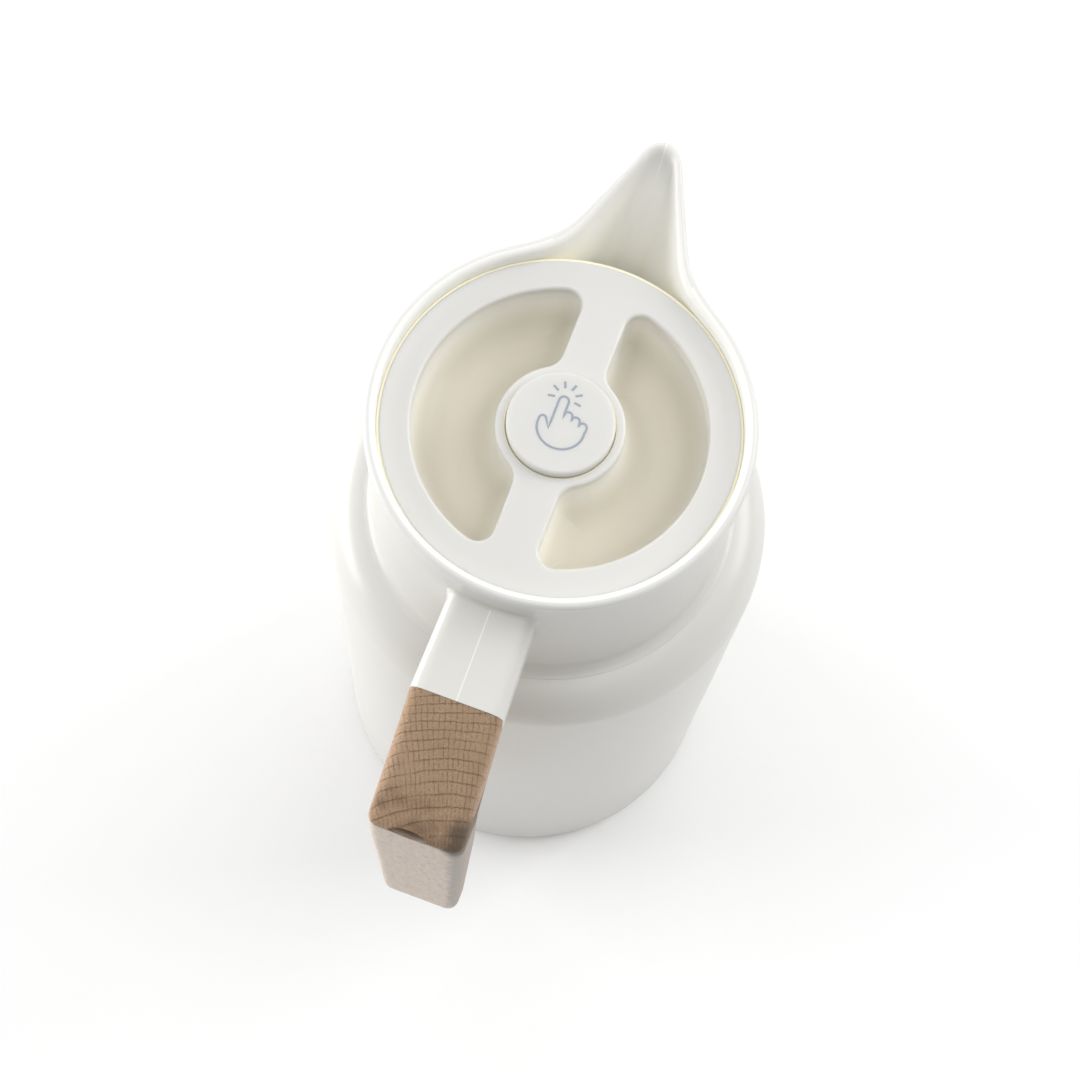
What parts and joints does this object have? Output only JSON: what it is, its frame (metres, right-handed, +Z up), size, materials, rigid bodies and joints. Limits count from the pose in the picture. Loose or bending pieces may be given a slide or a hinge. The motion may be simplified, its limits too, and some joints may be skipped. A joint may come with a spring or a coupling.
{
  "type": "vacuum jug with screw-in pouring stopper",
  "caption": "Insulated table jug with a glass liner, a screw stopper with a press-to-pour valve, an open pouring spout and a wood-clad drop handle.",
  "frame": {"origin": "centre of the flat underside, on the jug's axis", "axes": "+Z up along the jug's axis, +X towards the spout, -X towards the handle"},
  "size_m": [0.1915, 0.1266, 0.247],
  "materials": {
    "shell_white": "warm white moulded plastic, soft gloss",
    "lid_white": "warm white moulded plastic, satin",
    "stopper_white": "off-white moulded plastic, satin",
    "base_white": "off-white moulded plastic, fine texture",
    "beech": "oiled beech, end grain on the sloping top",
    "silvered_glass": "silvered double-walled glass",
    "silicone": "pale yellow translucent silicone rubber",
    "grey_silicone": "grey silicone rubber",
    "steel": "stainless steel, satin"
  },
  "bodies": {
    "jug": {"outer_shell": "shell_white", "collar": "shell_white", "glass_flask": "silvered_glass", "mouth_gasket": "silicone", "flask_cushion": "grey_silicone", "base_cap": "base_white", "base_pad": "grey_silicone", "wood_grip": "beech", "grip_screw_upper": "steel", "grip_screw_lower": "steel"},
    "lid_gasket": {"stopper_gasket": "silicone"},
    "lid": {"lid_cover": "lid_white", "stopper_body": "stopper_white", "lid_seal_ring": "silicone", "stem_seal": "silicone", "button_spring": "steel"},
    "press_valve": {"push_button": "lid_white", "valve_stem": "steel", "valve_disc": "stopper_white", "valve_seal": "silicone", "valve_nut": "steel"}
  },
  "joints": [
    {"name": "lid_lift", "type": "slide", "parent": "jug", "child": "lid_gasket", "axis": [0, 0, 1], "range_m": [0, 0.096]},
    {"name": "lid_turn", "type": "hinge", "parent": "lid_gasket", "child": "lid", "pos_m": [0, 0, 0.2], "axis": [0, 0, 1], "range_deg": [0, 1440]},
    {"name": "button_press", "type": "slide", "parent": "lid", "child": "press_valve", "axis": [0, 0, -1], "range_m": [0, 0.005], "stiffness_N_per_m": 300, "springref_m": -0.004, "deforming": ["button_spring"]}
  ],
  "couplings": [
    {"joint": "lid_lift", "follows": "lid_turn", "m_per_rad": 0.0038197}
  ]
}
